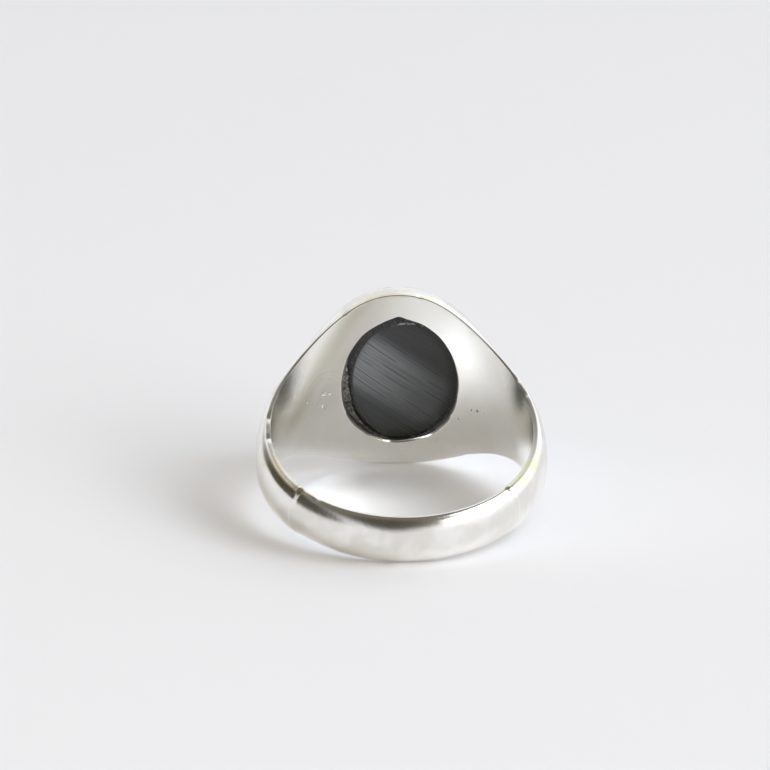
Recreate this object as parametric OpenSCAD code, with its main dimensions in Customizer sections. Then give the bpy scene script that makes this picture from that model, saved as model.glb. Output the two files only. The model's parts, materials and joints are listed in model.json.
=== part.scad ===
// Signet ring with an oval stone, lying on its side as it rests on a table.
// Millimetres. +Z is up, +Y points to the head of the ring, and z = 0 is the table.
// The ring is drawn upright around its finger axis (Z, head towards +Y) and then tipped to rest.

/* [Finger hole] */
// Inside diameter of the ring
bore_d = 18.2; // [17:0.1:20]

/* [Band] */
// Width of the band at the back of the finger
band_w = 3.8; // [3:0.1:5]
// Width of the ring along the finger, at the head
head_w = 14.72; // [14:0.02:16]
// Thickness of the band beside the finger
side_t = 0.9; // [0.8:0.05:1.4]
// Thickness of the band at the back of the finger
back_t = 1.2; // [0.9:0.05:1.8]
// Width of the flat rim along the edges of the band
rim_t = 0.25; // [0.15:0.05:0.4]

/* [Half shank] */
// Angle of the band that the soldered-in half shank fills, each way from the back
shank_angle = 51; // [30:1:70]
// Thickness of each solder seam
seam_t = 0.12; // [0.05:0.01:0.2]

/* [Head] */
// Height of the head's flat table above the top of the finger hole
table_rise = 1.7; // [1.5:0.05:1.9]
// Height of the stone's seat above the top of the finger hole
seat_rise = 0.3; // [0.2:0.05:0.5]
// Width of the window that is sawn through the head
window_w = 8.16; // [7:0.02:8.4]
// Length of the window, along the finger
window_l = 10.4; // [9:0.1:10.6]
// How far the saw nick runs past the window's top
nick_l = 0.25; // [0:0.05:0.4]

/* [Stone] */
// Width of the stone
stone_w = 10; // [9.8:0.1:10]
// Length of the stone, along the finger
stone_l = 12; // [11.8:0.1:12]
// Thickness of the stone
stone_t = 1.85; // [1.7:0.05:2]
// Thickness of the cement under the stone's flat back
bed_t = 0.1; // [0.05:0.05:0.15]
// Height of the bevel round the stone's back
back_bevel_h = 0.7; // [0.5:0.05:0.8]
// Width of the bevel round the stone's back, across the ring
back_bevel_w = 1.5; // [1:0.1:1.8]
// Height and width of the polished bevel round the stone's face
face_bevel = 0.5; // [0.4:0.05:0.6]

/* [Bezel] */
// Thickness of the bezel strip
bezel_t = 0.4; // [0.3:0.05:0.42]
// How far the bezel's lip stays below the stone's face
lip_drop = 0.12; // [0.05:0.01:0.2]
// How far the bezel's outside leans in at the lip
lip_lean = 0.22; // [0:0.01:0.25]

/* [Hidden] */

bore_r = bore_d / 2;
// Heights inside the head are measured from the finger axis.
table_h = bore_r + table_rise;
seat_h = bore_r + seat_rise;
// Room between the stone's girdle and the bezel
girdle_gap = 0.02;
// How far a cutter reaches past what it cuts
over = 0.5;

// The band's half width falls from the head to the back in two bell curves: a short one that
// shapes the head, and a long one that draws out the shoulders.
flare = (head_w - band_w) / 2;
head_share = 0.67;
head_angle = 40;
head_power = 2.3;
shoulder_angle = 90;
shoulder_power = 3.8;
function bell(angle, reach, power) = exp(-pow(abs(angle) / reach, power));
function half_width(angle) =
    band_w / 2
    + flare * head_share * bell(angle, head_angle, head_power)
    + flare * (1 - head_share) * bell(angle, shoulder_angle, shoulder_power);

// The band's thickness rises into the head, whose top is cut flat at table_h.
head_rise = 4;
rise_angle = 34;
rise_power = 1.9;
function thickness(angle) =
    side_t
    + (back_t - side_t) * (1 - cos(angle)) / 2
    + head_rise * bell(angle, rise_angle, rise_power);

// The crown is a half ellipse (power 2) on the band, and leaner around the middle of each shoulder.
shoulder_lean = 0.45;
shoulder_at = 52;
shoulder_spread = 25;
function crown_power(angle) =
    2 - shoulder_lean * exp(-pow((abs(angle) - shoulder_at) / shoulder_spread, 2));
function crown(side, power) = pow(max(0, 1 - pow(abs(side), power)), 1 / power);

// One cross-section of the band as points in space: flat inside, rim, crown, rim.
// The inside is drawn too deep by INSIDE, for the bore to cut it round.
CROWN_STEPS = 12;
INSIDE = 0.6;
function section(angle) = let (
    w = half_width(angle),
    foot = bore_r + rim_t,
    rise = thickness(angle) - rim_t,
    power = crown_power(angle),
    outline = concat(
        [[bore_r - INSIDE, -w]],
        [for (k = [0 : CROWN_STEPS]) let (side = -cos(180 * k / CROWN_STEPS))
            [foot + rise * crown(side, power), w * side]],
        [[bore_r - INSIDE, w]]
    )
) [for (p = outline) [p[0] * sin(angle), p[0] * cos(angle), p[1]]];

// The whole band and head in one closed sweep round the finger, before anything is cut.
BAND_STEPS = 90;
module band() {
    count = CROWN_STEPS + 3;
    sections = [for (i = [0 : BAND_STEPS - 1]) section(360 * i / BAND_STEPS - 180)];
    sides = [
        for (i = [0 : BAND_STEPS - 1]) for (j = [0 : count - 1])
        let (
            here = i * count,
            there = (i + 1) % BAND_STEPS * count,
            next = (j + 1) % count
        )
        each [[here + j, there + j, there + next], [here + j, there + next, here + next]]
    ];
    polyhedron([for (s = sections) each s], sides);
}

// The back of the ring, as far as an angle each way from the middle of the back.
module back_wedge(half_angle) {
    far = bore_d;
    linear_extrude(height = band_w * 2, center = true)
        polygon([[0, 0], [-far * tan(half_angle), -far], [far * tan(half_angle), -far]]);
}

// The finger hole, as a cutter.
module bore() {
    cylinder(r = bore_r, h = 2 * head_w, center = true, $fn = 180);
}

// Turns a shape that is drawn upward so that it points out of the head.
module out_of_head() {
    rotate([-90, 0, 0]) children();
}

// A solid of stacked ovals: each level is [height above the finger axis, half width, half length].
OVAL_STEPS = 72;
module oval_stack(levels) {
    n = OVAL_STEPS;
    top = len(levels) - 1;
    points = [
        for (l = levels) for (i = [0 : n - 1])
        [l[1] * sin(360 * i / n), l[0], l[2] * cos(360 * i / n)]
    ];
    sides = [
        for (k = [0 : top - 1]) for (i = [0 : n - 1])
        let (a = k * n + i, b = k * n + (i + 1) % n)
        each [[a, b + n, b], [a, a + n, b + n]]
    ];
    ends = [
        [for (i = [0 : n - 1]) i],
        [for (i = [n - 1 : -1 : 0]) top * n + i]
    ];
    polyhedron(points, concat(sides, ends));
}

// The stone's outline, and the bezel's inside and outside around it.
stone_hw = stone_w / 2;
stone_hl = stone_l / 2;
inside_hw = stone_hw + girdle_gap;
inside_hl = stone_hl + girdle_gap;
outside_hw = inside_hw + bezel_t;
outside_hl = inside_hl + bezel_t;
stone_back_h = seat_h + bed_t;
stone_face_h = stone_back_h + stone_t;
lip_h = stone_face_h - lip_drop;
// The back bevel is narrower at the ends of the stone than at its sides.
bevel_end_share = 0.77;
back_bevel_l = back_bevel_w * bevel_end_share;

// The window is an oval with slightly full sides and a saw nick at its top.
WINDOW_STEPS = 72;
fullness = 2.1;
nick_angle = 9;
function full(v) = sign(v) * pow(abs(v), 2 / fullness);
module window() {
    points = [
        for (i = [0 : WINDOW_STEPS - 1])
        let (a = 360 * i / WINDOW_STEPS, from_top = min(a, 360 - a))
        [
            window_w / 2 * full(sin(a)),
            -window_l / 2 * full(cos(a)) - nick_l * exp(-pow(from_top / nick_angle, 2))
        ]
    ];
    out_of_head() translate([0, 0, bore_r / 2]) linear_extrude(height = bore_r) polygon(points);
}

// The cut that opens the head for the bezel, the cement and the stone.
module seat_cut() {
    oval_stack([[seat_h, outside_hw, outside_hl], [table_h + head_rise, outside_hw, outside_hl]]);
}

// Everything of the head above its flat table.
module above_table() {
    translate([-head_w, table_h, -head_w]) cube([2 * head_w, head_w, 2 * head_w]);
}

// The ring rests on the lower edge of its head and the lower edge of its band.
rest_tilt = atan(flare / (bore_d + rim_t));
rest_lift = (bore_r + rim_t) * sin(rest_tilt)
    + norm([(back_t - rim_t) * sin(rest_tilt), band_w / 2 * cos(rest_tilt)]);
// Front and back reach from the finger axis when tipped, so that y = 0 is midway.
front_reach = (bore_r + rim_t) * cos(rest_tilt)
    + norm([(back_t - rim_t) * cos(rest_tilt), band_w / 2 * sin(rest_tilt)]);
head_reach = lip_h * cos(rest_tilt) + (outside_hl - lip_lean) * sin(rest_tilt);
module at_rest() {
    translate([0, (front_reach - head_reach) / 2, rest_lift]) rotate([rest_tilt, 0, 0]) children();
}

// Angle taken up by a solder seam.
seam_angle = seam_t / bore_r * 180 / PI;

// Cast shoulders and head, with the window and the stone's seat.
module ring_body() {
    color("silver") at_rest() difference() {
        band();
        bore();
        back_wedge(shank_angle);
        above_table();
        seat_cut();
        window();
    }
}

// The back half of the band, let in between the two seams.
module half_shank() {
    color("gainsboro") at_rest() difference() {
        intersection() {
            band();
            back_wedge(shank_angle - seam_angle);
        }
        bore();
    }
}

// A solder seam across the band: side is 1 towards +X and -1 towards -X.
module solder(side) {
    color("tan") at_rest() difference() {
        intersection() {
            band();
            back_wedge(shank_angle);
            translate([side * bore_d, 0, 0])
                cube([2 * bore_d, 3 * bore_d, 2 * band_w], center = true);
        }
        back_wedge(shank_angle - seam_angle);
        bore();
    }
}

// Strip soldered into the head round the stone, its lip pushed in over the stone's bevel.
module bezel_strip() {
    lip_hw = stone_hw - face_bevel + lip_drop + girdle_gap;
    lip_hl = stone_hl - face_bevel + lip_drop + girdle_gap;
    lean_h = stone_face_h - face_bevel;
    color("whitesmoke") at_rest() difference() {
        oval_stack([
            [seat_h, outside_hw, outside_hl],
            [lean_h, outside_hw, outside_hl],
            [lip_h, outside_hw - lip_lean, outside_hl - lip_lean]
        ]);
        oval_stack([
            [seat_h - over, inside_hw, inside_hl],
            [lean_h, inside_hw, inside_hl],
            [lip_h, lip_hw, lip_hl],
            [lip_h + over, lip_hw - over, lip_hl - over]
        ]);
    }
}

// The stone itself, drawn upright.
module stone_shape() {
    oval_stack([
        [stone_back_h, stone_hw - back_bevel_w, stone_hl - back_bevel_l],
        [stone_back_h + back_bevel_h, stone_hw, stone_hl],
        [stone_face_h - face_bevel, stone_hw, stone_hl],
        [stone_face_h, stone_hw - face_bevel, stone_hl - face_bevel]
    ]);
}

// Flat black tablet with a bevelled back and a polished face.
module stone() {
    color("dimgray") at_rest() stone_shape();
}

// The cement fills the corner between the seat, the bezel and the stone's bevelled back.
module stone_cement() {
    color("saddlebrown") at_rest() difference() {
        oval_stack([
            [seat_h, inside_hw, inside_hl],
            [stone_back_h + back_bevel_h, inside_hw, inside_hl]
        ]);
        stone_shape();
        window();
    }
}

ring_body();
half_shank();
solder(-1);  // solder_left
solder(1);  // solder_right
bezel_strip();
stone();
stone_cement();
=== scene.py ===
"""Looks of the silver signet ring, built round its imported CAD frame.

Shapes are worked out in millimetres in the ring's own frame, where Z is the finger axis and +Y points
out of the head, and are then put where the ring rests. Angles along the band are in degrees from the
head, positive towards +X.
"""

import json
from math import atan2, cos, pi, radians, sin, tan

import bmesh
import bpy
import numpy as np
from mathutils import Matrix, Vector


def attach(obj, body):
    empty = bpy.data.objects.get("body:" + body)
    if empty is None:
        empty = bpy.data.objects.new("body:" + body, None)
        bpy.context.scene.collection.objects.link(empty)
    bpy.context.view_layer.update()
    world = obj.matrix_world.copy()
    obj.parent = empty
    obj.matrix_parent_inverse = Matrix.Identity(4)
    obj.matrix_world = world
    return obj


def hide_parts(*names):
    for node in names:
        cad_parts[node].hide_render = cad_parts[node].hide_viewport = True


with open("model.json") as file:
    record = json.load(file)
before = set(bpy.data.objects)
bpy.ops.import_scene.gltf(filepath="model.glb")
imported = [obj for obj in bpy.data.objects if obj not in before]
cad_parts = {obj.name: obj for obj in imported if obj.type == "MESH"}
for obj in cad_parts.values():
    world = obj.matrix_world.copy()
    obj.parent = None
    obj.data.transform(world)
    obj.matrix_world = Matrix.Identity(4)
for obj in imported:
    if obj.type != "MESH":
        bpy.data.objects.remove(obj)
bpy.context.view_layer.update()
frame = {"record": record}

# ---------------------------------------------------------------- sizes, in millimetres

finger_bore = {m["name"]: m for m in frame["record"]["mounts"]}["finger_bore"]
BORE_R = finger_bore["dims"]["r_mm"]
HEAD_W = finger_bore["dims"]["length_mm"]
CENTRE = Vector(finger_bore["pos_m"])
TILT = atan2(-finger_bore["axis"][1], finger_bore["axis"][2])
MM = 0.001
PLACE = Matrix.Translation(CENTRE) @ Matrix.Rotation(TILT, 4, "X") @ Matrix.Scale(MM, 4)

# The band: its width at the back, its thickness at the sides, the back and the edges, and its seams,
# whose places and spans are in degrees.
BAND_W = 3.8
SIDE_T = 0.9
BACK_T = 1.2
RIM_T = 0.14
EDGE_R = 0.05
BODY_FULLNESS = 2.0
SEAM_AT = 129.0
SEAM_T = 0.12
SEAM_SPAN = SEAM_T / BORE_R * 180 / pi

# The half shank, against the body: it is thinner, its crown is less full and its upper edge is lower.
SHANK_THINNER = 0.03
SHANK_FULLNESS = 1.65
SHANK_LOWER = 0.06
FILED_SPAN = 2.6

# The head: its flat table, the stone's seat, and the window with its scraped edge and the saw's nick
# at its top. Heights are from the finger axis, and NICK_AT is in degrees from the window's top.
TABLE_H = BORE_R + 1.7
TABLE_REACH = 80
SEAT_H = BORE_R + 0.3
WINDOW_W = 8.16
WINDOW_L = 10.4
WINDOW_FULLNESS = 2.1
WINDOW_ASIDE = 0.14
WINDOW_SAG = 0.16
SCRAPE = 0.12
NICK_AT = -1.5
NICK_L = 0.12
NICK_BASE_L = 0.1

# The stone. Its back has a ground bevel (in from the sides, in from the ends, height), off centre.
STONE_HW = 5.0
STONE_HL = 6.0
STONE_BACK = SEAT_H + 0.1
STONE_FACE = STONE_BACK + 1.85
BACK_BEVEL = (1.35, 0.95, 0.7)
BACK_ASIDE = 0.66
BACK_BELOW = 0.48
FACE_BEVEL = 0.5
GIRDLE_GAP = 0.02
MIDDLE = 0.02

# The bezel, whose lip leans in over the stone.
BEZEL_T = 0.4
LIP_H = STONE_FACE - 0.12
LIP_LEAN = 0.22
BEZEL_HW = STONE_HW + GIRDLE_GAP + BEZEL_T
BEZEL_HL = STONE_HL + GIRDLE_GAP + BEZEL_T

# How finely the meshes are divided. ROW_STEP is in degrees, and so is CREASE, the angle from which
# an edge is sharp.
INSIDE_STEPS = 84
EDGE_STEPS = 5
CROWN_STEPS = 60
ROW_STEP = 0.75
OUTLINE_STEPS = 240
CREASE = 32


# ---------------------------------------------------------------- the band's form

def bell(away, reach, power=2):
    """A bell curve: 1 at its middle, and the flatter there the higher the power."""
    return np.exp(-((np.abs(away) / reach) ** power))


def half_width(angle):
    """Half the band's width, which flares from the back towards the head."""
    flare = (HEAD_W - BAND_W) / 2
    return BAND_W / 2 + flare * (0.67 * bell(angle, 40, 2.3) + 0.33 * bell(angle, 90, 3.8))


def thickness(angle):
    """The band's thickness in the middle of its width, which swells where the head is cut from it."""
    back = (1 - np.cos(np.radians(angle))) / 2
    return SIDE_T + (BACK_T - SIDE_T) * back + 4 * bell(angle, 34, 1.9)


def rim_thickness(angle):
    """The band's thickness at its very edges, which grows at the sides and at the head."""
    return RIM_T + 0.12 * bell(abs(angle) - 82, 34) + 0.10 * bell(angle, 32, 3)


def crown(angle, side, fullness):
    """How far the band's crown rises, from 0 at its edges (side is -1 or 1) to 1 in the middle."""
    power = fullness - 0.45 * bell(abs(angle) - 52, 25)
    return np.maximum(0, 1 - np.abs(side) ** power) ** (1 / power)


def lower_of(a, b, blend):
    """The smaller of two values, with the change from one to the other rounded over blend."""
    return (a + b - np.sqrt((a - b) ** 2 + blend**2)) / 2


def wobble(points, wavelength, seed, waves=11):
    """A smooth random height of about -1 to 1 at each point, the same on each run."""
    rng = np.random.default_rng(seed)
    direction = rng.normal(size=(waves, 3))
    direction /= np.linalg.norm(direction, axis=1)[:, None]
    pitch = 2 * pi / (wavelength * rng.uniform(0.6, 1.7, waves))
    phase = rng.uniform(0, 2 * pi, waves)
    return np.sin(points @ direction.T * pitch + phase).sum(-1) / np.sqrt(waves)


def uneven_share(points, wavelength, seed):
    """A smooth random share from 0 to 1 at each point."""
    return 0.5 + 0.5 * np.clip(wobble(points, wavelength, seed), -1, 1)


# ---------------------------------------------------------------- meshes

def grid_object(name, rows, closed=False):
    """A closed mesh from an array of rows, each a closed loop of points in the ring's own frame."""
    count, loop = rows.shape[:2]
    mesh = bmesh.new()
    verts = [[mesh.verts.new(p) for p in row] for row in rows.tolist()]
    for i in range(count if closed else count - 1):
        here, there = verts[i], verts[(i + 1) % count]
        for j in range(loop):
            k = (j + 1) % loop
            mesh.faces.new((here[j], here[k], there[k], there[j]))
    if not closed:
        mesh.faces.new(reversed(verts[0]))
        mesh.faces.new(verts[-1])
    bmesh.ops.recalc_face_normals(mesh, faces=mesh.faces)
    data = bpy.data.meshes.new(name)
    mesh.to_mesh(data)
    mesh.free()
    piece = bpy.data.objects.new(name, data)
    bpy.context.scene.collection.objects.link(piece)
    return piece


def cut(piece, *cutters):
    """Takes the cutters out of the piece, and removes them."""
    for cutter in cutters:
        step = piece.modifiers.new("cut", "BOOLEAN")
        step.operation = "DIFFERENCE"
        step.solver = "MANIFOLD"
        step.object = cutter
    depsgraph = bpy.context.evaluated_depsgraph_get()
    data = bpy.data.meshes.new_from_object(piece.evaluated_get(depsgraph))
    piece.modifiers.clear()
    piece.data = data
    for cutter in cutters:
        bpy.data.objects.remove(cutter)


def finish_piece(piece, node, material):
    """Puts a piece where the ring rests, gives it its material and sharp edges, hangs it on the root
    body, and hides the CAD part it stands for.
    """
    piece.data.transform(PLACE)
    piece.data.materials.clear()
    piece.data.materials.append(material)
    piece.data.shade_smooth()
    mesh = bmesh.new()
    mesh.from_mesh(piece.data)
    for edge in mesh.edges:
        edge.smooth = not (edge.is_manifold and edge.calc_face_angle() > radians(CREASE))
    mesh.to_mesh(piece.data)
    mesh.free()
    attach(piece, "root")
    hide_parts(node)


def section(angle, thinner=0.0, fullness=BODY_FULLNESS):
    """The band's section at an angle: its radius and its height along the finger at each point."""
    w = half_width(angle)
    rim = rim_thickness(angle)
    rise = thickness(angle) - thinner - rim
    inside = np.linspace(-1, 1, INSIDE_STEPS + 1) * (w - EDGE_R)
    turn = np.linspace(0, pi / 2, EDGE_STEPS + 1)[1:]
    edge_r = BORE_R + EDGE_R * (1 - np.cos(turn))
    edge_z = w - EDGE_R * (1 - np.sin(turn))
    side = np.cos(np.linspace(0, pi, CROWN_STEPS + 1))
    crown_r = BORE_R + rim + rise * crown(angle, side, fullness)
    if abs(angle) < TABLE_REACH:
        crown_r = lower_of(crown_r, TABLE_H / cos(radians(angle)), 0.1)
    radius = np.concatenate([np.full(len(inside), BORE_R), edge_r, crown_r, edge_r[::-1]])
    height = np.concatenate([inside, edge_z, w * side, -edge_z[::-1]])
    return radius, height


def band_row(angle, **changes):
    """One row of points: the band's section, put at its angle round the finger."""
    from_head = (angle + 180) % 360 - 180
    radius, height = section(from_head, **changes)
    a = radians(angle)
    return np.stack([radius * sin(a), radius * cos(a), height], 1)


def worn(rows):
    """Rows with the slight unevenness of hand work: the metal only ever gets thinner."""
    outward = rows * [1, 1, 0]
    radius = np.linalg.norm(outward, axis=-1, keepdims=True)
    outward = outward / radius
    outside = np.clip((radius - BORE_R - RIM_T) / 0.3, 0, 1)
    depth = 0.03 * uneven_share(rows, 5.0, seed=3) + 0.006 * uneven_share(rows, 1.6, seed=4)
    return rows - outward * depth[..., None] * outside


# Casting pits on the bore: angle, height along the finger, reach.
PITS = [
    (-35.1, 0.05, 0.13),
    (-32.1, -0.05, 0.09),
    (-36.3, -0.89, 0.09),
    (-39.1, -0.55, 0.06),
    (-45.5, 0.05, 0.08),
    (34.9, -1.43, 0.09),
    (38.1, -1.3, 0.12),
    (42.0, -1.2, 0.07),
    (28.3, -2.59, 0.07),
]

# The middle of the brushed arcs, on the bore rolled out flat: along the band and along the finger.
SWIRL = (-5.6, 0.15)

# Small dents in the two rims: angle, which rim (1 is the upper one), width and depth.
RIM_DENTS = [
    (62, 1, 0.25, 0.10),
    (-24, 1, 0.18, 0.08),
    (9, 1, 0.15, 0.06),
    (-84, 1, 0.35, 0.08),
    (-96, 1, 0.25, 0.07),
    (71, 1, 0.2, 0.05),
    (-140, 1, 0.2, 0.06),
    (33, -1, 0.3, 0.08),
    (160, -1, 0.3, 0.06),
]


def dented(rows):
    """Rows with the rims knocked in a little at each dent."""
    rows = rows.copy()
    along = np.degrees(np.arctan2(rows[..., 0], rows[..., 1]))
    radius = np.hypot(rows[..., 0], rows[..., 1])
    edge = half_width(along)
    for angle, rim, width, depth in RIM_DENTS:
        away = ((along - angle + 180) % 360 - 180) * BORE_R * pi / 180
        near_rim = np.clip(1 - (edge - rim * rows[..., 2]) / 0.5, 0, 1)
        near_bore = np.clip(1 - (radius - BORE_R) / 0.5, 0, 1)
        rows[..., 2] -= rim * depth * bell(away, width) * near_rim * near_bore
    return rows


def oval(half_w, half_l, steps=OUTLINE_STEPS):
    """An outline of points, from the oval's top towards +X and round."""
    turn = np.arange(steps) * 2 * pi / steps
    return np.stack([half_w * np.sin(turn), half_l * np.cos(turn)], 1)


def window_outline(steps=OUTLINE_STEPS):
    """The window as sawn: a slightly full oval with a saw nick at its top, not quite even."""
    turn = np.arange(steps) * 2 * pi / steps

    def full(v):
        return np.sign(v) * np.abs(v) ** (2 / WINDOW_FULLNESS)

    from_nick = np.degrees((turn + pi) % (2 * pi) - pi) - NICK_AT
    nick = NICK_L * bell(from_nick, 4) + NICK_BASE_L * bell(from_nick, 11)
    sag = WINDOW_SAG * np.clip(-np.cos(turn), 0, 1) ** 2
    x = WINDOW_W / 2 * full(np.sin(turn))
    z = WINDOW_L / 2 * full(np.cos(turn)) + nick - sag
    points = np.stack([x, z], 1)
    uneven = 0.035 * outline_wobble(points, 2.2, seed=7)
    return points + outward_of(points) * uneven[:, None] + [WINDOW_ASIDE, 0]


def outline_wobble(outline, wavelength, seed):
    """The wobble at each point of an outline."""
    x, z = outline.T
    return wobble(np.column_stack([x, np.zeros(len(x)), z]), wavelength, seed)


def outward_of(outline):
    """Unit vectors pointing out of a closed outline of points."""
    along = np.roll(outline, -1, 0) - np.roll(outline, 1, 0)
    out = np.stack([-along[:, 1], along[:, 0]], 1)
    out /= np.linalg.norm(out, axis=1)[:, None]
    centre = outline.mean(0)
    return out if ((outline - centre) * out).sum() > 0 else -out


def stack(levels):
    """Rows of points from levels, each an outline and its height or its points' heights."""
    return np.array([np.stack([o[:, 0], np.broadcast_to(h, len(o)), o[:, 1]], 1) for o, h in levels])


def oval_rows(profile, steps=OUTLINE_STEPS):
    """Rows from a profile whose points are half width, half length and height."""
    return stack([(oval(w, l, steps), h) for w, l, h in profile])


def softened(points, reach, closed=False):
    """A line of points with each corner rounded off over a reach either side of it."""
    steps = 4
    points = np.array(points, float)
    count = len(points)
    line = []
    for i in range(count):
        corner, before, after = points[i], points[i - 1], points[(i + 1) % count]
        if not closed and i in (0, count - 1):
            line.append(corner)
            continue
        back, ahead = before - corner, after - corner
        start = corner + back * min(0.45, reach / np.linalg.norm(back))
        end = corner + ahead * min(0.45, reach / np.linalg.norm(ahead))
        for t in np.linspace(0, 1, steps + 1):
            line.append((1 - t) ** 2 * start + 2 * t * (1 - t) * corner + t**2 * end)
    return np.array(line)


def window_cutter():
    """The window's cutter, which widens where it meets the bore so that the edge comes out scraped."""
    outline = window_outline()
    out = outward_of(outline)
    levels = []
    for spread, over_bore in [(SCRAPE + 0.3, -0.3), (0.01, SCRAPE - 0.01), (0.0, SCRAPE + 0.03)]:
        level = outline + out * spread
        levels.append((level, np.sqrt(BORE_R**2 - level[:, 0] ** 2) + over_bore))
    levels.append((outline, SEAT_H + 0.4))
    return grid_object("window_cutter", stack(levels))


def seat_cutter():
    """The cutter of the seat for the bezel and the stone, which also blunts the table's edge."""
    w, l = BEZEL_HW + 0.01, BEZEL_HL + 0.01
    profile = [
        (w, l, SEAT_H),
        (w, l, TABLE_H - 0.08),
        (w + 0.04, l + 0.04, TABLE_H),
        (w + 0.3, l + 0.3, TABLE_H + 0.5),
    ]
    return grid_object("seat_cutter", oval_rows(profile, steps=192))


# ---------------------------------------------------------------- materials

class Nodes:
    """A node tree being built: make() adds a node, and a value or another node feeds a socket."""

    def __init__(self, tree):
        self.tree = tree
        self.tree.nodes.clear()

    def make(self, kind, settings=None, **inputs):
        node = self.tree.nodes.new("ShaderNode" + kind)
        for key, value in (settings or {}).items():
            setattr(node, key, value)
        for key, value in inputs.items():
            self.feed(node.inputs[key.replace("_", " ")], value)
        return node

    def feed(self, socket, value):
        if isinstance(value, bpy.types.NodeSocket):
            self.tree.links.new(value, socket)
        else:
            socket.default_value = value

    def math(self, operation, a, b=0.0):
        node = self.make("Math", {"operation": operation})
        self.feed(node.inputs[0], a)
        self.feed(node.inputs[1], b)
        return node.outputs[0]

    def product(self, *factors):
        """All the factors multiplied together."""
        total = factors[0]
        for factor in factors[1:]:
            total = self.math("MULTIPLY", total, factor)
        return total

    def length(self, a, b):
        """The length of a vector, from its two components."""
        return self.math("SQRT", self.math("ADD", self.product(a, a), self.product(b, b)))

    def ramp(self, value, low, high, to_low=0.0, to_high=1.0):
        """A smooth change, from to_low where the value is low to to_high where it is high."""
        node = self.make("MapRange", {"interpolation_type": "SMOOTHSTEP"}, Value=value)
        limits = {"From Min": low, "From Max": high, "To Min": to_low, "To Max": to_high}
        for key, number in limits.items():
            node.inputs[key].default_value = number
        return node.outputs["Result"]

    def fade(self, value, low, high):
        """1 up to a low value, going smoothly to 0 at a high one."""
        return self.ramp(value, low, high, 1.0, 0.0)

    def between(self, value, start, full, fading, end):
        """1 for a value between full and fading, going smoothly to 0 at start and at end."""
        return self.product(self.ramp(value, start, full), self.fade(value, fading, end))

    def blend(self, share, a, b):
        """Colour a where share is 0 and colour b where it is 1."""
        node = self.make("Mix", {"data_type": "RGBA"})
        self.feed(node.inputs["Factor"], share)
        self.feed(node.inputs["A"], a)
        self.feed(node.inputs["B"], b)
        return node.outputs["Result"]

    def layered(self, colour, layers):
        """A colour with others laid over it, each given by its share and itself."""
        for share, layer in layers:
            colour = self.blend(share, colour, layer)
        return colour

    def mix(self, share, a, b):
        """Number a where share is 0 and number b where it is 1."""
        node = self.make("Mix", {"data_type": "FLOAT"})
        self.feed(node.inputs[0], share)
        self.feed(node.inputs[2], a)
        self.feed(node.inputs[3], b)
        return node.outputs[0]


class Shader(Nodes):
    """A material being built."""

    def __init__(self, name):
        self.material = bpy.data.materials.new(name)
        self.material.use_nodes = True
        super().__init__(self.material.node_tree)
        self.output = self.make("OutputMaterial")

    def ring_place(self):
        """Position in the ring's own frame, in millimetres."""
        turn = Matrix.Rotation(-TILT, 4, "X")
        shift = -(turn @ CENTRE) / MM
        place = self.make("Mapping", Vector=self.make("TexCoord").outputs["Object"])
        place.inputs["Scale"].default_value = (1 / MM, 1 / MM, 1 / MM)
        place.inputs["Rotation"].default_value = (-TILT, 0, 0)
        place.inputs["Location"].default_value = shift
        return place.outputs["Vector"]

    def parts(self, vector):
        """A vector's three components."""
        split = self.make("SeparateXYZ", Vector=vector)
        return [split.outputs[k] for k in "XYZ"]

    def stretched(self, vector, scale, rotation=(0, 0, 0)):
        """A texture space turned and then stretched."""
        turned = self.make("Mapping", Vector=vector)
        turned.inputs["Rotation"].default_value = [radians(r) for r in rotation]
        node = self.make("Mapping", Vector=turned.outputs["Vector"])
        node.inputs["Scale"].default_value = scale
        return node.outputs["Vector"]

    def noise(self, vector, scale, detail=3.0, roughness=0.5):
        node = self.make("TexNoise", Vector=vector, Scale=scale, Detail=detail, Roughness=roughness)
        return node.outputs["Fac"]

    def distance(self, vector, point):
        """How far a vector is from a point given by its first two coordinates."""
        node = self.make("VectorMath", {"operation": "DISTANCE"})
        self.feed(node.inputs[0], vector)
        node.inputs[1].default_value = (*point, 0)
        return node.outputs["Value"]

    def cuts(self, across, density, width):
        """Thin lines at uneven spacings: 1 on a line and 0 between, with so many per millimetre."""
        cells = self.make("TexVoronoi", {"voronoi_dimensions": "1D", "feature": "DISTANCE_TO_EDGE"})
        self.feed(cells.inputs["W"], across)
        cells.inputs["Scale"].default_value = density
        return self.fade(cells.outputs["Distance"], 0.0, width * density)

    def bump(self, height, distance):
        return self.make("Bump", Height=height, Distance=distance, Strength=1.0).outputs["Normal"]

    def surface(self, **inputs):
        """Ends the material in one Principled shader."""
        shader = self.make("BsdfPrincipled", **inputs)
        self.feed(self.output.inputs["Surface"], shader.outputs["BSDF"])
        return self.material


def grey(value, tint=(1.0, 1.0, 1.0)):
    return (value * tint[0], value * tint[1], value * tint[2], 1.0)


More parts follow.
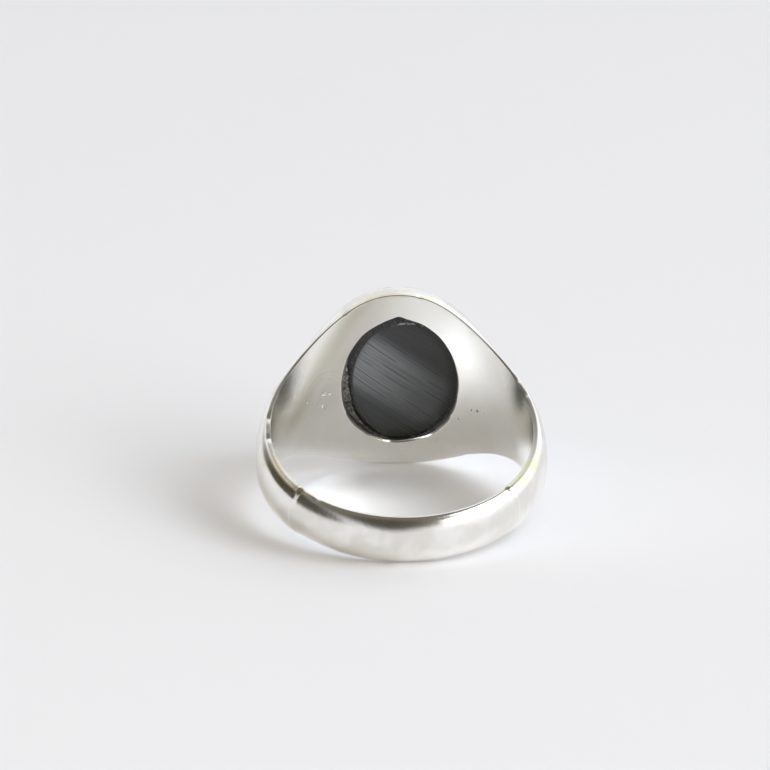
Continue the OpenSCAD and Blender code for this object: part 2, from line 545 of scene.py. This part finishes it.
class Silver(Shader):
    """Silver, polished outside and brushed to satin inside, with wear, stains, a painted shade streak on
    the bore, and painted reflections outside and along the inner edge.
    """

    def __init__(self, name):
        super().__init__(name)
        place = self.ring_place()
        self.x, y, self.z = self.parts(place)
        self.radius = self.length(self.x, y)
        self.inside = self.fade(self.radius, BORE_R + 0.02, BORE_R + 0.06)
        turn = self.math("ARCTAN2", self.x, y)
        along = self.math("MULTIPLY", turn, BORE_R)
        self.flat = self.make("CombineXYZ", X=along, Y=self.z).outputs["Vector"]
        self.degrees_off = self.math("MULTIPLY", self.math("ABSOLUTE", turn), 180 / pi)
        self.cloud = self.noise(place, 0.35, 3.0, 0.55)
        self.patch = self.noise(place, 1.3, 4.0, 0.6)
        self.fine = self.noise(place, 5.0, 4.0, 0.6)
        self.pitted = self.product(self.pits(self.noise(place, 4.5, 3.0)), self.inside)

    def pits(self, uneven):
        """The ragged casting pits on the bore: 1 at each pit's bottom and 0 elsewhere."""
        deepest = 0.0
        for angle, height, reach in PITS:
            away = self.distance(self.flat, (radians(angle) * BORE_R, height))
            ragged = self.math("ADD", away, self.math("MULTIPLY", uneven, reach * 5))
            deepest = self.math("MAXIMUM", deepest, self.fade(ragged, reach * 2.2, reach * 3.8))
        return deepest

    def off_window(self):
        """0 round the window, whose edge is as close to the bore as the rims are, and 1 elsewhere."""
        beyond = self.ramp(self.math("ABSOLUTE", self.z), 5.45, 5.55)
        return self.math("MAXIMUM", beyond, self.ramp(self.degrees_off, 28, 32))

    def painted_shade_streak(self):
        """Painted shade: a broad darker streak that runs aslant over the left of the bore."""
        turned = self.stretched(self.flat, (1.0, 1.0, 1.0), (0, 0, -54))
        streak = self.between(self.parts(turned)[1], 5.1, 6.4, 6.5, 7.9)
        return self.product(streak, self.inside, self.ramp(self.z, -3.0, 0.5))

    def dullness(self):
        """Cloudy dull patches on the outside."""
        outside = self.ramp(self.inside, 0.0, 1.0, 0.6, 0.0)
        return self.product(self.ramp(self.cloud, 0.42, 0.62), outside)

    def stains_and_painted_reflections(self):
        """Yellow marks on the outside, near both seams and along the head's rim: partly stains and
        partly painted reflections.
        """
        by_seams = self.product(
            self.between(self.degrees_off, 96, 114, 132, 138),
            self.ramp(self.z, 1.35, 1.8),
            self.ramp(self.patch, 0.35, 0.6, 0.3, 1.0),
        )
        on_rim = self.product(
            self.fade(self.radius, BORE_R + 0.22, BORE_R + 0.30),
            self.off_window(),
            self.fade(self.degrees_off, 14, 30),
            self.ramp(self.patch, 0.35, 0.55, 0.4, 1.0),
        )
        outside = self.ramp(self.inside, 0.0, 1.0, 0.7, 0.0)
        return self.product(self.math("MAXIMUM", by_seams, on_rim), outside)

    def painted_dark_edge(self):
        """Painted reflection: a thin dark line along the inner edge of the head and shoulders, standing
        for the dark reflection there.
        """
        edge = self.between(self.radius, BORE_R + 0.002, BORE_R + 0.008, BORE_R + 0.04, BORE_R + 0.07)
        return self.product(edge, self.off_window(), self.fade(self.degrees_off, 60, 85))

    def colour(self):
        amber = grey(0.80, (1.0, 0.86, 0.56))
        lemon = grey(0.86, (0.98, 1.0, 0.55))
        # a warm dark tint, for the dirt in the pits and for the painted dark reflection along the inner
        # edge
        dirt_and_reflection_tint = (1.0, 0.9, 0.75)
        return self.layered(grey(0.96, (1.0, 0.99, 0.955)), [
            (self.ramp(self.cloud, 0.35, 0.7), grey(0.93, (1.0, 0.98, 0.92))),
            (self.ramp(self.patch, 0.60, 0.78, 0.0, 0.25), grey(0.62, (1.0, 0.95, 0.86))),
            # painted shade: the darker streak aslant over the left of the bore
            (self.painted_shade_streak(), grey(0.76, (1.0, 0.97, 0.86))),
            (self.dullness(), grey(0.78, (1.0, 0.97, 0.92))),
            # partly stains, partly painted reflections: amber towards -X, lemon towards +X
            (self.stains_and_painted_reflections(), self.blend(self.ramp(self.x, -1, 1), amber, lemon)),
            # painted reflection: a thin dark line along the inner edge
            (self.painted_dark_edge(), grey(0.08, dirt_and_reflection_tint)),
            (self.ramp(self.pitted, 0.8, 1.0), grey(0.25, dirt_and_reflection_tint)),
        ])

    def roughness(self, satin):
        outside = self.math("ADD", 0.12, self.math("MULTIPLY", self.cloud, 0.14))
        inside = self.math("ADD", satin, self.math("MULTIPLY", self.patch, 0.07))
        return self.mix(self.inside, outside, inside)

    def relief(self):
        """Brush marks, a few arcs of them and the pits inside, and a fine grain outside."""
        brushed = self.noise(self.stretched(self.flat, (12.0, 0.7, 1.0), (0, 0, 25)), 1.0, 4.0, 0.65)
        swirl = self.distance(self.flat, SWIRL)
        arcs = self.product(
            self.cuts(self.math("ADD", swirl, self.math("MULTIPLY", brushed, 0.3)), 2.5, 0.015),
            self.ramp(self.z, -0.2, 0.8),
            self.between(swirl, 0.5, 0.9, 1.6, 2.8),
        )
        inside = self.math("ADD", brushed, self.math("MULTIPLY", arcs, 0.35))
        inside = self.math("SUBTRACT", inside, self.math("MULTIPLY", self.pitted, 8.0))
        return self.mix(self.inside, self.math("MULTIPLY", self.fine, 0.5), inside)


def silver_material(name, satin):
    """A silver material, with the roughness of its satin inside."""
    s = Silver(name)
    return s.surface(
        Base_Color=s.colour(),
        Metallic=1.0,
        Roughness=s.roughness(satin),
        Normal=s.bump(s.relief(), 0.000012),
    )


def solder_material():
    """Silver solder: as bright as the silver, a shade yellower and a little rougher."""
    s = Shader("solder")
    grain = s.noise(s.ring_place(), 9.0, 3.0)
    colour = s.blend(grain, grey(0.95, (1.0, 0.985, 0.94)), grey(0.92, (1.0, 0.975, 0.91)))
    return s.surface(
        Base_Color=colour,
        Metallic=1.0,
        Roughness=s.ramp(grain, 0.2, 0.8, 0.10, 0.18),
        Normal=s.bump(grain, 0.000002),
    )


class Onyx(Shader):
    """Black onyx: a sawn back with saw lines, a faint band with painted sheen and a painted shadow near
    its outline, and a polished face.
    """

    def __init__(self, name):
        super().__init__(name)
        self.place = self.ring_place()
        self.x, y, self.z = self.parts(self.place)
        self.up = self.math("SUBTRACT", y, STONE_BACK)
        girdle = STONE_BACK + BACK_BEVEL[2]
        self.sawn = self.fade(y, girdle + 0.05, girdle + 0.1)
        self.sawing = self.stretched(self.place, (1.0, 1.0, 1.0), (0, -38, 0))
        self.lines = self.noise(self.stretched(self.sawing, (0.2, 1.0, 10.0)), 1.0, 3.0, 0.6)
        self.saw_cuts = self.broken_cuts()

    def broken_cuts(self):
        """Saw cuts, deep and shallow ones, which waver and break off."""
        waver = self.noise(self.stretched(self.sawing, (0.15, 1.0, 0.5)), 1.0, 1.0)
        across = self.math("ADD", self.parts(self.sawing)[2], self.math("MULTIPLY", waver, 0.5))
        deep = self.cuts(across, 1.5, 0.035)
        shallow = self.math("MULTIPLY", self.cuts(across, 3.7, 0.05), 0.4)
        broken = self.noise(self.stretched(self.sawing, (0.5, 1.0, 3.0)), 1.0, 2.0)
        return self.product(self.math("ADD", deep, shallow), self.ramp(broken, 0.36, 0.52), self.sawn)

    def band_and_painted_sheen(self, reach):
        """The faint lighter band that crosses the back along the saw's way: partly a band in the stone
        and partly a painted sheen, lighter at one end and fading in painted shade towards the outline.
        """
        along, _, side = self.parts(self.sawing)
        return self.product(
            self.between(side, -3.2, -1.4, 0.9, 2.5),
            self.sawn,
            self.ramp(along, -3.5, 4.0, 1.0, 0.25),
            self.ramp(self.lines, 0.3, 0.7, 0.8, 1.15),
            self.ramp(reach, 0.72, 1.0, 1.0, 0.1),
        )

    def chips_and_glints(self):
        """Light chips on the corner between the back and its bevel, most of them top right and bottom
        left; they also stand for painted glints on that corner.
        """
        ends = self.math("ABSOLUTE", self.math("ADD", self.z, BACK_BELOW))
        corner = self.math("MULTIPLY", self.x, self.z)
        return self.product(
            self.between(self.up, 0.004, 0.02, 0.05, 0.09),
            self.ramp(self.noise(self.place, 3.0, 4.0, 0.75), 0.48, 0.6),
            self.ramp(ends, 3.2, 4.6, 0.15, 1.0),
            self.ramp(corner, -3.0, 1.5, 0.1, 1.0),
        )

    def colour(self):
        reach = self.distance(self.stretched(self.place, (1 / 4.2, 0.0, 1 / 5.3)), (0.03, 0.0))
        # Painted shadow: the back darkens near its outline, where the window's edge shades it.
        painted_edge_shadow = self.product(self.ramp(reach, 0.76, 0.98), self.sawn)
        bevel = self.product(self.ramp(self.up, 0.05, 0.09), self.sawn)
        dusty = self.ramp(self.noise(self.place, 7.0, 3.0, 0.7), 0.45, 0.7)
        return self.layered(grey(0.03, (0.94, 1.0, 1.05)), [
            (painted_edge_shadow, grey(0.006)),
            # partly a band in the stone, partly a painted sheen
            (self.band_and_painted_sheen(reach), grey(0.20, (0.94, 1.0, 1.06))),
            (self.saw_cuts, grey(0.006)),
            (bevel, self.blend(dusty, grey(0.008), grey(0.06, (0.95, 1.0, 1.04)))),
            # chips, and painted glints along the corner of the back
            (self.chips_and_glints(), grey(0.30)),
        ])

    def roughness(self):
        sawn = self.product(self.sawn, self.ramp(self.lines, 0.3, 0.7, 0.30, 0.42))
        return self.math("MAXIMUM", sawn, 0.04)

    def relief(self):
        cut = self.math("SUBTRACT", self.lines, self.math("MULTIPLY", self.saw_cuts, 1.5))
        return self.product(cut, self.sawn)


def onyx_material():
    s = Onyx("onyx")
    return s.surface(
        Base_Color=s.colour(),
        Roughness=s.roughness(),
        IOR=1.54,
        Normal=s.bump(s.relief(), 0.00002),
    )


def cement_material():
    """Gritty cement, dragged into streaks along the window's edge and flecked with silver dust."""
    s = Shader("cement")
    place = s.ring_place()
    x, _, z = s.parts(place)
    along = s.math("MULTIPLY", s.math("ARCTAN2", x, z), 1.5)
    turned = s.make("CombineXYZ", X=along, Y=s.length(x, z)).outputs["Vector"]
    streaks = s.noise(s.stretched(turned, (1.2, 6.0, 1.0)), 1.0, 3.0, 0.6)
    grain = s.noise(place, 4.5, 5.0, 0.75)
    flecks = s.noise(place, 9.0, 2.0)
    colour = s.layered(grey(0.015, (1.0, 0.86, 0.68)), [
        (s.ramp(grain, 0.42, 0.6), grey(0.18, (1.0, 0.92, 0.80))),
        (s.ramp(streaks, 0.5, 0.62, 0.0, 0.7), grey(0.15, (1.0, 0.88, 0.74))),
        (s.ramp(flecks, 0.63, 0.70), grey(0.40)),
    ])
    return s.surface(
        Base_Color=colour,
        Roughness=s.ramp(grain, 0.3, 0.7, 0.4, 0.8),
        Normal=s.bump(grain, 0.00008),
    )


def floor_material():
    """White paper, very slightly mottled."""
    s = Shader("floor")
    mottle = s.noise(s.make("TexCoord").outputs["Object"], 6.0, 2.0)
    tint = (0.995, 0.995, 1.015)
    return s.surface(Base_Color=s.blend(mottle, grey(0.84, tint), grey(0.86, tint)), Roughness=0.9)


def backdrop_material():
    """A flat pale glow."""
    s = Shader("backdrop")
    glow = s.make("Emission", Color=grey(0.76, (1.0, 1.0, 1.01)), Strength=1.0)
    s.feed(s.output.inputs["Surface"], glow.outputs["Emission"])
    return s.material


# ---------------------------------------------------------------- pieces

def make_ring_body():
    angles = np.linspace(-SEAM_AT, SEAM_AT, round(2 * SEAM_AT / ROW_STEP) + 1)
    rows = np.array([band_row(angle) for angle in angles])
    piece = grid_object("signet_ring_body", dented(worn(rows)))
    cut(piece, window_cutter(), seat_cutter())
    finish_piece(piece, "ring_body", silver_material("silver_body", satin=0.09))


def blended_rows(angles, shares):
    """Rows of the band that go from the body's section, at a share of 0, to the half shank's, at 1."""
    rows = []
    for angle, share in zip(angles, shares):
        fullness = BODY_FULLNESS + (SHANK_FULLNESS - BODY_FULLNESS) * share
        row = worn(band_row(angle, thinner=SHANK_THINNER * share, fullness=fullness))
        row[:, 2] *= np.where(row[:, 2] > 0, 1 - share * SHANK_LOWER / (BAND_W / 2), 1)
        rows.append(row)
    return np.array(rows)


def make_half_shank():
    """The back of the band, filed down to its own lower section over a short way from each seam."""
    start, end = SEAM_AT + SEAM_SPAN, 360 - SEAM_AT - SEAM_SPAN
    filed = np.linspace(0, FILED_SPAN, 13)
    middle = np.linspace(start + FILED_SPAN, end - FILED_SPAN, 133)[1:-1]
    angles = np.concatenate([start + filed, middle, end - filed[::-1]])
    away = np.clip(np.minimum(angles - start, end - angles) / FILED_SPAN, 0, 1)
    filed_share = away**2 * (3 - 2 * away)
    piece = grid_object("back_half_shank", dented(blended_rows(angles, filed_share)))
    finish_piece(piece, "half_shank", silver_material("silver_shank", satin=0.08))


def make_solder(node, body_side, shank_side, material):
    """A solder seam, filed flush with the body."""
    rows = blended_rows(np.linspace(body_side, shank_side, 3), np.zeros(3))
    piece = grid_object(node + "_seam", rows)
    finish_piece(piece, node, material)


def make_bezel():
    """The strip round the stone: straight up to the stone's face bevel, and then leaning in over it."""
    w, l = STONE_HW + GIRDLE_GAP, STONE_HL + GIRDLE_GAP
    lean_h = STONE_FACE - FACE_BEVEL
    lip = FACE_BEVEL - (STONE_FACE - LIP_H)
    corners = [
        (BEZEL_HW, BEZEL_HL, SEAT_H),
        (BEZEL_HW, BEZEL_HL, lean_h),
        (BEZEL_HW - LIP_LEAN, BEZEL_HL - LIP_LEAN, LIP_H),
        (w - lip, l - lip, LIP_H),
        (w, l, lean_h),
        (w, l, SEAT_H),
    ]
    profile = softened(corners, 0.1, closed=True)
    rows = oval_rows(profile).transpose(1, 0, 2)
    pressed = 0.02 * uneven_share(rows, 1.8, seed=11)
    rows[..., 1] -= pressed * (rows[..., 1] > lean_h)
    piece = grid_object("bezel", rows, closed=True)
    finish_piece(piece, "bezel_strip", silver_material("silver_bezel", satin=0.2))


def make_stone():
    """The stone: a profile from the middle of its back to the middle of its face, round an oval."""
    w, l, h = BACK_BEVEL
    profile = softened([
        (MIDDLE, MIDDLE, STONE_BACK),
        (STONE_HW - w, STONE_HL - l, STONE_BACK),
        (STONE_HW, STONE_HL, STONE_BACK + h),
        (STONE_HW, STONE_HL, STONE_FACE - FACE_BEVEL),
        (STONE_HW - FACE_BEVEL, STONE_HL - FACE_BEVEL, STONE_FACE),
        (MIDDLE, MIDDLE, STONE_FACE),
    ], 0.06)
    rows = off_centre(oval_rows(profile))
    piece = grid_object("onyx_stone", rows)
    finish_piece(piece, "stone", onyx_material())


def off_centre(rows):
    """Rows of the stone with its back set off centre, so that its bevel is uneven."""
    share = np.clip(1 - (rows[..., 1:2] - STONE_BACK) / BACK_BEVEL[2], 0, 1)
    return rows + share * [BACK_ASIDE, 0, -BACK_BELOW]


def make_cement():
    """Cement between the seat, the bezel and the stone, squeezed out unevenly into the window."""
    steps = 360
    turn = np.arange(steps) * 2 * pi / steps
    outline = window_outline(steps)
    out = outward_of(outline)
    left = bell(turn - radians(262), 0.55)
    rough = outline_wobble(outline, 0.3, seed=21)
    squeeze = -0.05 + 0.52 * left + (0.02 + 0.03 * left) * rough
    lip = outline - out * squeeze[:, None]

    # The lip touches the stone's bevel, which rises from the stone's back to its girdle.
    w, l, h = BACK_BEVEL
    wall = oval(STONE_HW + GIRDLE_GAP, STONE_HL + GIRDLE_GAP, steps)
    girdle = oval(STONE_HW, STONE_HL, steps)
    back = oval(STONE_HW - w, STONE_HL - l, steps)
    lip_reach, back_reach, girdle_reach = (np.linalg.norm(o, axis=1) for o in (lip, back, girdle))
    share = (lip_reach - back_reach) / (girdle_reach - back_reach)
    lip_h = STONE_BACK + h * np.clip(share, 0, 1)
    girdle_h = STONE_BACK + h
    rows = stack([
        (outline + out * 0.14, SEAT_H),
        (outline - out * (squeeze * 0.35 - 0.05)[:, None], SEAT_H + 0.02),
        (outline - out * (squeeze * 0.8)[:, None], (SEAT_H + 0.05 + lip_h) / 2),
        (lip, lip_h),
        (girdle, girdle_h),
        (wall, girdle_h),
        (wall, SEAT_H),
    ]).transpose(1, 0, 2)
    piece = grid_object("cement_bed", rows, closed=True)
    finish_piece(piece, "stone_cement", cement_material())


def make_floor():
    bpy.ops.mesh.primitive_circle_add(vertices=96, radius=4.0, fill_type="NGON")
    floor = bpy.context.object
    floor.name = "floor"
    floor.data.materials.append(floor_material())


def make_backdrop():
    """A pale wall round the floor, which only the camera sees, so that the lighting is the room's."""
    bpy.ops.mesh.primitive_cylinder_add(vertices=96, radius=1.2, depth=2.4, end_fill_type="NOTHING")
    wall = bpy.context.object
    wall.name = "backdrop"
    wall.data.materials.append(backdrop_material())
    wall.visible_diffuse = False
    wall.visible_glossy = False
    wall.visible_shadow = False


# ---------------------------------------------------------------- camera and light

def make_camera():
    """The view down through the finger hole to the back of the stone. Lengths are in millimetres."""
    distance = 300.0
    pitch = radians(35.88)
    yaw = radians(2.08)
    roll = radians(0.94)
    aside, below = 1.14, 5.02
    turn = Matrix.Rotation(TILT, 3, "X") @ Matrix.Rotation(-yaw, 3, "Z")
    right = turn @ Vector((1, 0, 0))
    ahead = turn @ Vector((0, cos(pitch), -sin(pitch)))
    up = right.cross(ahead)
    across = cos(roll) * right + sin(roll) * up
    upward = cos(roll) * up - sin(roll) * right
    eye = CENTRE - (aside * across - below * upward + distance * ahead) * MM
    data = bpy.data.cameras.new("camera")
    data.lens = 201.7
    data.sensor_width = 36
    camera = bpy.data.objects.new("camera", data)
    axes = Matrix((across, upward, -ahead)).transposed()
    camera.matrix_world = Matrix.Translation(eye) @ axes.to_4x4()
    bpy.context.scene.collection.objects.link(camera)
    bpy.context.scene.camera = camera


def direction(azimuth, elevation):
    """A unit vector: azimuth is in degrees from +X towards +Y."""
    a, e = radians(azimuth), radians(elevation)
    return Vector((cos(a) * cos(e), sin(a) * cos(e), sin(e)))


# The room's patches: azimuth, elevation, reach of the full and of the faded part, brightness, tint.
ROOM = [
    (15, 38, 22, 52, 1.25, (0.97, 1.0, 1.05)),
    (-85, 63, 40, 57, 0.15, (1.09, 1.0, 0.80)),
    (-100, 27, 12, 33, 0.07, (1.10, 1.0, 0.84)),
    (185, 4, 25, 55, 0.07, (1.10, 1.0, 0.80)),
]


def make_world():
    """A pale room, brightest on the right, and dark and brownish overhead, in front and on the left."""
    world = bpy.data.worlds.new("studio")
    world.use_nodes = True
    bpy.context.scene.world = world
    s = Nodes(world.node_tree)
    towards = s.make("TexCoord").outputs["Generated"]
    colour = grey(0.905, (0.99, 1.0, 1.02))
    for azimuth, elevation, full, faded, value, tint in ROOM:
        dot = s.make("VectorMath", {"operation": "DOT_PRODUCT"})
        s.feed(dot.inputs[0], towards)
        dot.inputs[1].default_value = direction(azimuth, elevation)
        share = s.ramp(dot.outputs["Value"], cos(radians(faded)), cos(radians(full)))
        colour = s.blend(share, colour, grey(value, tint))
    background = s.make("Background", Color=colour, Strength=1.0)
    out = s.make("OutputWorld")
    s.feed(out.inputs["Surface"], background.outputs["Background"])


def make_light(name, azimuth, elevation, width, height, radiance, tint, shows_in_metal=True):
    """A rectangular lamp far off, from its place and size in degrees and its brightness."""
    distance = 1.5
    data = bpy.data.lights.new(name, "AREA")
    data.shape = "RECTANGLE"
    data.size = 2 * distance * tan(radians(width / 2))
    data.size_y = 2 * distance * tan(radians(height / 2))
    data.energy = radiance * pi * data.size * data.size_y
    data.color = tint
    light = bpy.data.objects.new(name, data)
    towards = direction(azimuth, elevation)
    light.location = towards * distance
    light.rotation_euler = towards.to_track_quat("Z", "Y").to_euler()
    light.visible_glossy = shows_in_metal
    bpy.context.scene.collection.objects.link(light)


make_camera()
make_world()
make_light("window_low", -38, 22, 36, 26, 3.3, (1.0, 1.0, 1.0))
make_light("window_high", -22, 45, 30, 24, 4.5, (0.92, 1.0, 1.14))
make_light("fill", -130, 50, 75, 60, 0.68, (1.10, 1.0, 0.82), shows_in_metal=False)
make_floor()
make_backdrop()

make_ring_body()
make_half_shank()
solder_look = solder_material()
make_solder("solder_right", SEAM_AT, SEAM_AT + SEAM_SPAN, solder_look)
make_solder("solder_left", -SEAM_AT, -SEAM_AT - SEAM_SPAN, solder_look)
make_bezel()
make_stone()
make_cement()

bpy.context.scene.view_settings.view_transform = "Standard"
bpy.context.scene.cycles.blur_glossy = 0.0
